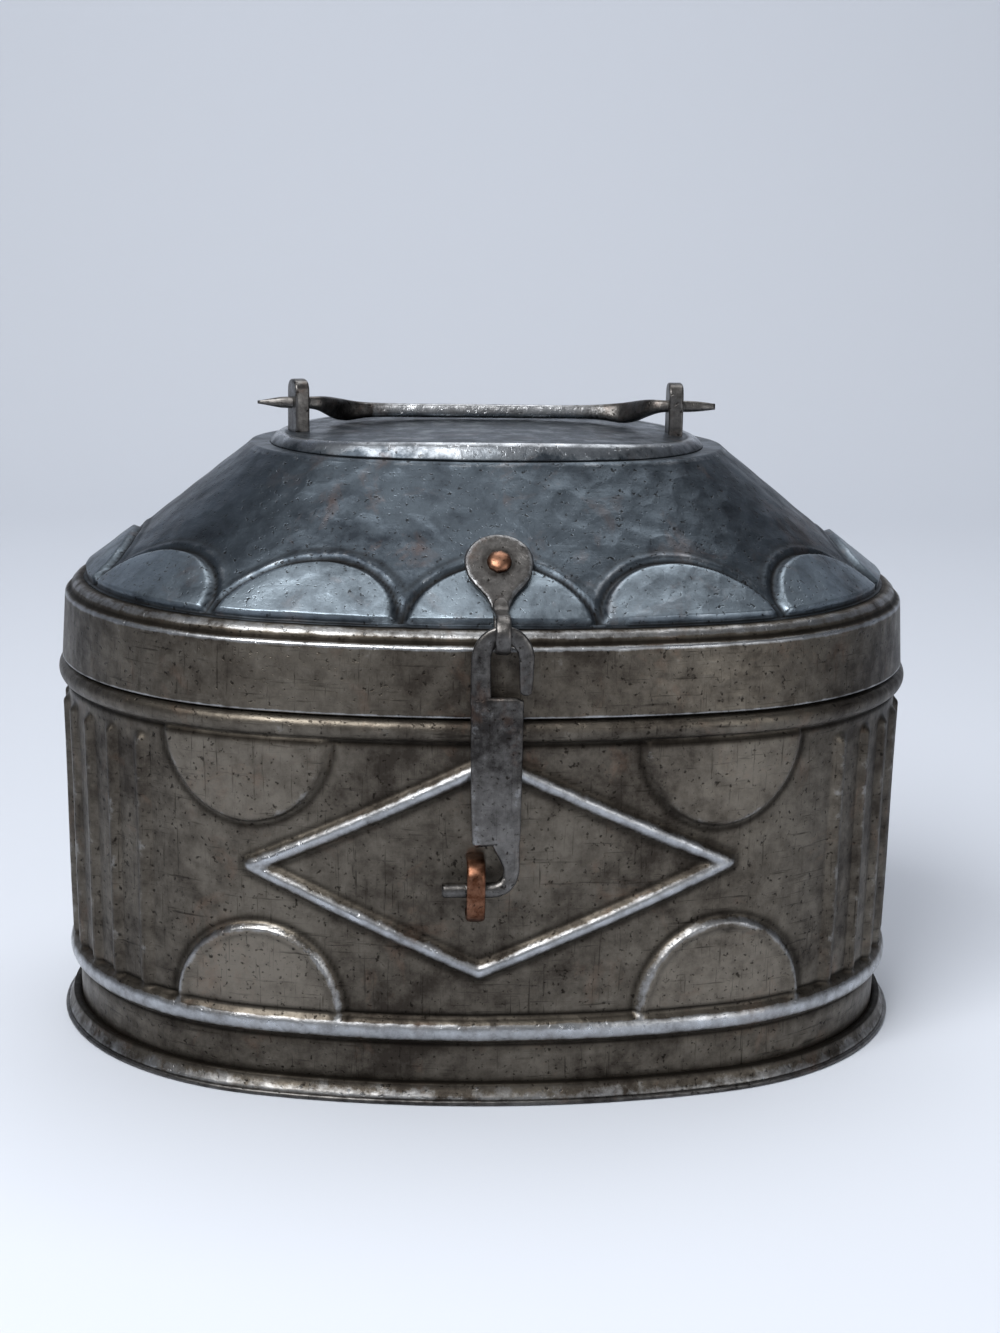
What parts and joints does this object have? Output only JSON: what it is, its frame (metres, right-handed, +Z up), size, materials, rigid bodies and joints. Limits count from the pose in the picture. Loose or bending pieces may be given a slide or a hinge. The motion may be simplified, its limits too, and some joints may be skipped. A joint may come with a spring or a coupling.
{
  "type": "hinged oval copper box",
  "caption": "Oval tinned copper box with a scalloped hinged lid, a folding bail handle, and a hasp whose side pin drops into a staple.",
  "frame": {"origin": "on the ground under the middle of the box's outline, closed and at rest", "axes": "+Z up, +X along the length to the right seen from the front, -Y out of the front where the hasp is"},
  "size_m": [0.2512, 0.1923, 0.1885],
  "materials": {
    "tinned_wall": "tinned copper sheet, hammered and raised, dark grey-brown patina with bright worn ridges",
    "tinned_hood": "tinned copper sheet, planished with overlapping hammer marks, blue-grey patina",
    "tinned_fittings": "forged and tinned bar, worn bright on its faces, dark in its corners",
    "bare_copper": "bare copper, rubbed and toned brown"
  },
  "bodies": {
    "box": {"body_wall": "tinned_wall", "bottom_pan": "tinned_wall", "foot_rim": "tinned_wall", "staple": "bare_copper", "staple_backplate": "tinned_fittings", "hinge_body_leaf": "tinned_fittings", "hinge_pin": "tinned_fittings", "hinge_body_rivets": "bare_copper"},
    "lid": {"lid_band": "tinned_wall", "lid_hood": "tinned_hood", "lid_top_plate": "tinned_hood", "left_ear": "tinned_fittings", "right_ear": "tinned_fittings", "ear_clench_plates": "tinned_fittings", "hinge_lid_leaf": "tinned_fittings", "hinge_lid_rivets": "bare_copper", "hasp_rivet": "bare_copper"},
    "hasp_plate_body": {"hasp_plate": "tinned_fittings"},
    "hasp": {"hasp_strap": "tinned_fittings"},
    "bail": {"bail_handle": "tinned_fittings"}
  },
  "joints": [
    {"name": "lid_hinge", "type": "hinge", "parent": "box", "child": "lid", "pos_m": [0, 0.0923, 0.1084], "axis": [-1, 0, 0], "range_deg": [0, 110]},
    {"name": "bail_swing", "type": "hinge", "parent": "lid", "child": "bail", "pos_m": [0, 0, 0.1816], "axis": [1, 0, 0], "range_deg": [0, 200]},
    {"name": "hasp_swivel", "type": "hinge", "parent": "lid", "child": "hasp_plate_body", "pos_m": [0, -0.06971, 0.14672], "axis": [0, -0.7117, 0.7025], "range_deg": [0, 10]},
    {"name": "hasp_lift", "type": "hinge", "parent": "hasp_plate_body", "child": "hasp", "pos_m": [0, -0.0914, 0.13243], "axis": [-1, 0, 0], "range_deg": [0, 170]}
  ]
}
